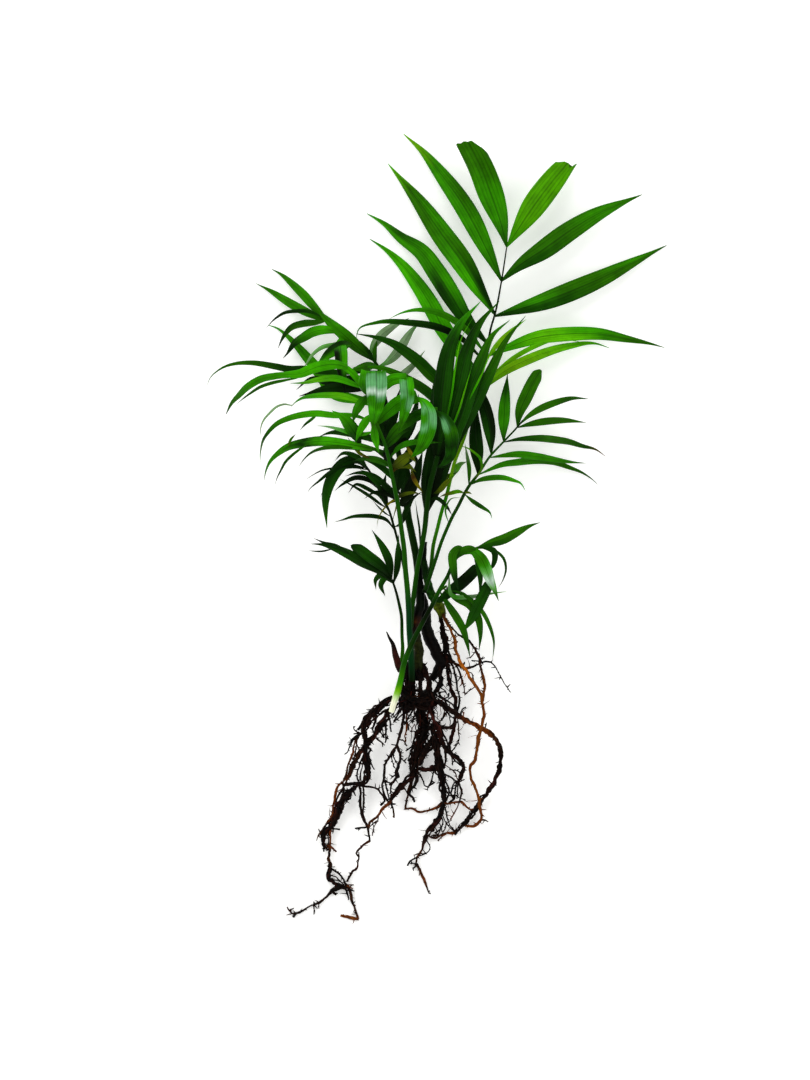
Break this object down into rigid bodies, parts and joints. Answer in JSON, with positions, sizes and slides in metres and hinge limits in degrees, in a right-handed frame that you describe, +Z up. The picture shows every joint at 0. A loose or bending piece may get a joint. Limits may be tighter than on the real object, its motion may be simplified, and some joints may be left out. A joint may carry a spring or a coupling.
{
  "type": "parlor palm plant",
  "caption": "Young bare-root parlor palm lying flat: slim green stalks, feather-like fronds of narrow arching leaflets, a dark root crown and long trailing roots.",
  "frame": {"origin": "centre of the plant's bounding box, on the surface that it lies on", "axes": "+Y along the stalks from the roots to the top leaves, +Z up from the surface, +X to the right seen from above"},
  "size_m": [0.3458, 0.5886, 0.1012],
  "materials": {
    "leaf_blade": "satin",
    "green_stalk": "satin",
    "cane_bark": "satin",
    "dry_sheath": "matte",
    "root_bark": "matte",
    "orange_root": "matte"
  },
  "bodies": {
    "root": {"back_frond_leaflet_drooping": "leaf_blade", "back_frond_leaflet_left_1": "leaf_blade", "back_frond_leaflet_long": "leaf_blade", "back_frond_leaflet_straight": "leaf_blade", "back_frond_leaflet_tip": "leaf_blade", "back_frond_stalk": "green_stalk", "dark_rhizome": "root_bark", "dry_sheath": "dry_sheath", "front_frond_drooper_1": "leaf_blade", "front_frond_drooper_2": "leaf_blade", "front_frond_drooper_3": "leaf_blade", "front_frond_drooper_4": "leaf_blade", "front_frond_leaflet_left_3": "leaf_blade", "front_frond_leaflet_left_4": "leaf_blade", "front_frond_leaflet_left_long": "leaf_blade", "front_frond_stalk": "green_stalk", "lower_left_frond_stalk": "green_stalk", "lower_right_frond_stalk": "green_stalk", "main_cane": "cane_bark", "right_frond_leaflet_end": "leaf_blade", "right_frond_leaflet_left_2": "leaf_blade", "right_frond_leaflet_left_3": "leaf_blade", "right_frond_leaflet_left_4": "leaf_blade", "right_frond_leaflet_right_2": "leaf_blade", "right_frond_leaflet_right_3": "leaf_blade", "right_frond_leaflet_right_4": "leaf_blade", "right_frond_leaflet_right_5": "leaf_blade", "right_frond_stalk": "green_stalk", "root_crown": "root_bark", "root_left_inner": "root_bark", "root_left_outer": "root_bark", "root_left_thin": "root_bark", "root_middle": "root_bark", "root_orange": "orange_root", "root_right_arc": "root_bark", "root_right_dark": "root_bark", "root_right_inner": "root_bark", "seedling_cane": "cane_bark", "seedling_leaf_stalk": "green_stalk", "small_leaf_stalk": "green_stalk", "spear_frond_leaflet_1": "leaf_blade", "spear_frond_leaflet_2": "leaf_blade", "spear_frond_leaflet_3": "leaf_blade", "spear_frond_leaflet_4": "leaf_blade", "spear_frond_stalk": "green_stalk", "top_frond_leaflet_left_1": "leaf_blade", "top_frond_leaflet_left_2": "leaf_blade", "top_frond_leaflet_left_3": "leaf_blade", "top_frond_leaflet_left_4": "leaf_blade", "top_frond_leaflet_left_5": "leaf_blade", "top_frond_leaflet_left_6": "leaf_blade", "top_frond_leaflet_left_7": "leaf_blade", "top_frond_leaflet_left_arching": "leaf_blade", "top_frond_leaflet_right_1": "leaf_blade", "top_frond_leaflet_right_2": "leaf_blade", "top_frond_leaflet_right_3": "leaf_blade", "top_frond_leaflet_right_4": "leaf_blade", "top_frond_leaflet_right_5": "leaf_blade", "top_frond_stalk": "green_stalk"}
  },
  "joints": []
}
